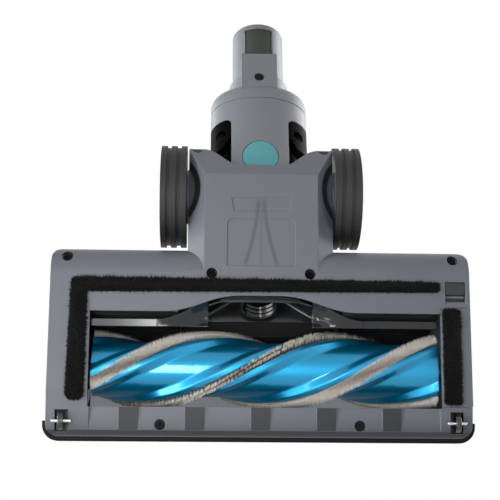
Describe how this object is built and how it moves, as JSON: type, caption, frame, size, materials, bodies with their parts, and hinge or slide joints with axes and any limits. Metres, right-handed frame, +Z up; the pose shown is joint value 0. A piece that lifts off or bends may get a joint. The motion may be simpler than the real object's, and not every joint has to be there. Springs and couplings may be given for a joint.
{
  "type": "vacuum floor brush head",
  "caption": "Motorised vacuum floor head with a helical brush roller in an open sole, lint strips, rear and front wheels, and a neck that pitches and swivels to a wand tube.",
  "frame": {"origin": "on the floor, under the middle of the whole head's box", "axes": "+Z up from the floor, +Y from the front bumper towards the wand tube, +X towards the drive side of the roller"},
  "size_m": [0.2554, 0.28, 0.0924],
  "materials": {
    "shell_plastic": "satin",
    "clear_visor": "clear tinted plastic",
    "bumper_rubber": "matte",
    "chamber_plastic": "gloss black",
    "hose_plastic": "ribbed, satin",
    "roller_blue": "metallic blue gloss",
    "stiff_bristle": "stiff nylon tufts",
    "soft_bristle": "dense soft pile",
    "steel": "ground",
    "brass_bush": "sintered",
    "belt_rubber": "matte",
    "motor_can": "zinc plated",
    "velvet": "short pile",
    "screw_steel": "black oxide",
    "wheel_tyre": "soft rubber",
    "hub_silver": "silver satin",
    "front_wheel_plastic": "gloss",
    "trunnion_plastic": "matte black",
    "neck_plastic": "matte grey",
    "pivot_teal": "gloss teal",
    "catch_plastic": "matte dark"
  },
  "bodies": {
    "head": {"lower_shell": "shell_plastic", "upper_cover": "shell_plastic", "front_visor": "clear_visor", "bumper": "bumper_rubber", "brush_chamber": "chamber_plastic", "suction_duct": "chamber_plastic", "flexible_hose": "hose_plastic", "drive_bush": "brass_bush", "drive_belt": "belt_rubber", "motor": "motor_can", "end_cap": "shell_plastic", "roller_bearing": "steel", "velvet_strip_rear": "velvet", "velvet_strip_drive": "velvet", "velvet_strip_cap": "velvet", "shell_screws": "screw_steel", "lip_screws": "screw_steel", "rear_axle_drive_side": "steel", "rear_axle_cap_side": "steel", "front_axle_drive_side": "steel", "front_axle_cap_side": "steel"},
    "roller": {"roller_core": "roller_blue", "stiff_bristle_strip": "stiff_bristle", "soft_bristle_strip_a": "soft_bristle", "soft_bristle_strip_b": "soft_bristle", "roller_stub": "steel", "drive_pulley": "chamber_plastic", "drive_shaft": "steel"},
    "motor_rotor": {"motor_shaft": "steel", "motor_pulley": "chamber_plastic"},
    "latch": {"latch_slider": "neck_plastic"},
    "wheel_drive_side": {"tyre_drive_side": "wheel_tyre", "wheel_hub_drive_side": "neck_plastic", "hub_cap_drive_side": "hub_silver"},
    "wheel_cap_side": {"tyre_cap_side": "wheel_tyre", "wheel_hub_cap_side": "neck_plastic", "hub_cap_cap_side": "hub_silver"},
    "small_wheel_drive_side": {"front_wheel_drive_side": "front_wheel_plastic"},
    "small_wheel_cap_side": {"front_wheel_cap_side": "front_wheel_plastic"},
    "pitch_block": {"trunnion": "trunnion_plastic"},
    "neck": {"yoke": "neck_plastic", "yoke_core": "trunnion_plastic", "pivot_cap_upper": "pivot_teal", "pivot_cap_lower": "pivot_teal", "pivot_pin_upper": "steel", "pivot_pin_lower": "steel", "yoke_screws": "screw_steel", "neck_collar": "neck_plastic", "connector_tube": "neck_plastic", "catch_plate": "catch_plastic", "tube_screw": "screw_steel"}
  },
  "joints": [
    {"name": "roller_spin", "type": "hinge", "parent": "head", "child": "roller", "pos_m": [0, -0.09694, 0.0245], "axis": [1, 0, 0], "continuous": true},
    {"name": "motor_spin", "type": "hinge", "parent": "head", "child": "motor_rotor", "pos_m": [0, -0.04694, 0.025], "axis": [1, 0, 0], "continuous": true},
    {"name": "rear_wheel_drive_side", "type": "hinge", "parent": "head", "child": "wheel_drive_side", "pos_m": [0.0535, 0.01206, 0.032], "axis": [1, 0, 0], "continuous": true},
    {"name": "rear_wheel_cap_side", "type": "hinge", "parent": "head", "child": "wheel_cap_side", "pos_m": [-0.0535, 0.01206, 0.032], "axis": [1, 0, 0], "continuous": true},
    {"name": "front_wheel_spin_drive_side", "type": "hinge", "parent": "head", "child": "small_wheel_drive_side", "pos_m": [0.1158, -0.12854, 0.0055], "axis": [1, 0, 0], "continuous": true},
    {"name": "front_wheel_spin_cap_side", "type": "hinge", "parent": "head", "child": "small_wheel_cap_side", "pos_m": [-0.1158, -0.12854, 0.0055], "axis": [1, 0, 0], "continuous": true},
    {"name": "latch_slide", "type": "slide", "parent": "head", "child": "latch", "axis": [0, -1, 0], "range_m": [0, 0.003], "stiffness_N_per_m": 300},
    {"name": "neck_pitch", "type": "hinge", "parent": "head", "child": "pitch_block", "pos_m": [0, 0.01206, 0.032], "axis": [1, 0, 0], "range_deg": [0, 70], "deforming": ["flexible_hose"]},
    {"name": "neck_yaw", "type": "hinge", "parent": "pitch_block", "child": "neck", "pos_m": [0, 0.02851, 0.03798], "axis": [0, -0.342, 0.9397], "range_deg": [-30, 30]}
  ],
  "couplings": [
    {"joint": "motor_spin", "follows": "roller_spin", "ratio": 2}
  ]
}
